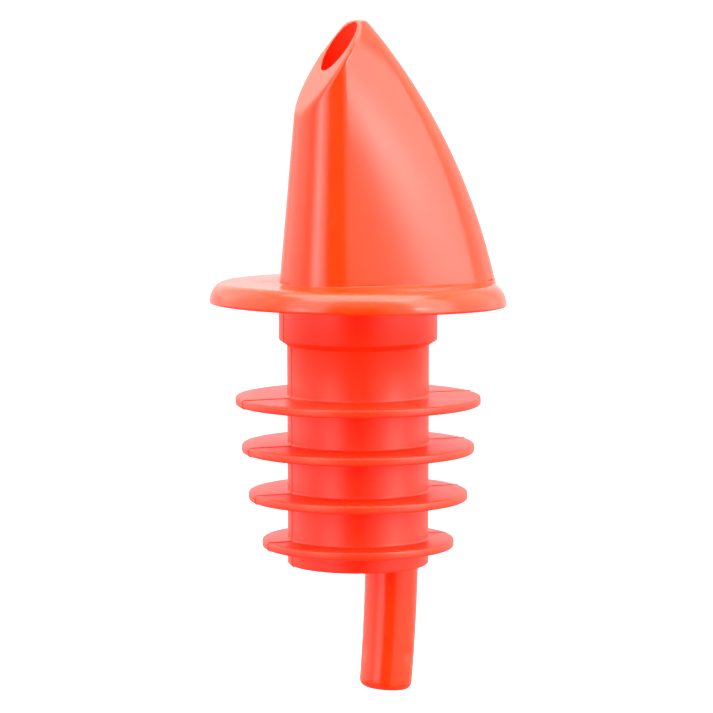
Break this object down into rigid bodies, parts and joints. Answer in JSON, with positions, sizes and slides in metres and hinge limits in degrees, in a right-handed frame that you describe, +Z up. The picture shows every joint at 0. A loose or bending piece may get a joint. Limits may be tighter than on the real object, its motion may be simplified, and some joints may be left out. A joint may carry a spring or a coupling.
{
  "type": "liquor pour spout",
  "caption": "Free-flow bottle pour spout with a hollow slanted beak, round flange, finned stopper and a breather tube with a check ball.",
  "frame": {"origin": "on the stopper's axis at the flange's flat underside, where it meets a bottle's lip", "axes": "+Z up along the stopper's axis, +X towards the side the spout pours to, XZ is the plane of symmetry"},
  "size_m": [0.0318, 0.0318, 0.0722],
  "materials": {
    "plastic": "semi-gloss translucent neon orange-red moulded polyethylene",
    "steel": "polished"
  },
  "bodies": {
    "stopper": {"finned_stopper": "plastic"},
    "spout": {"spout_shell": "plastic", "flange_plate": "plastic", "vent_tube": "plastic"},
    "ball": {"vent_ball": "steel"}
  },
  "joints": [
    {"name": "spout_turn", "type": "hinge", "parent": "stopper", "child": "spout", "pos_m": [0, 0, 0], "axis": [0, 0, 1], "continuous": true},
    {"name": "ball_travel", "type": "slide", "parent": "spout", "child": "ball", "axis": [-0.0767, 0, 0.9971], "range_m": [0, 0.0009]}
  ]
}
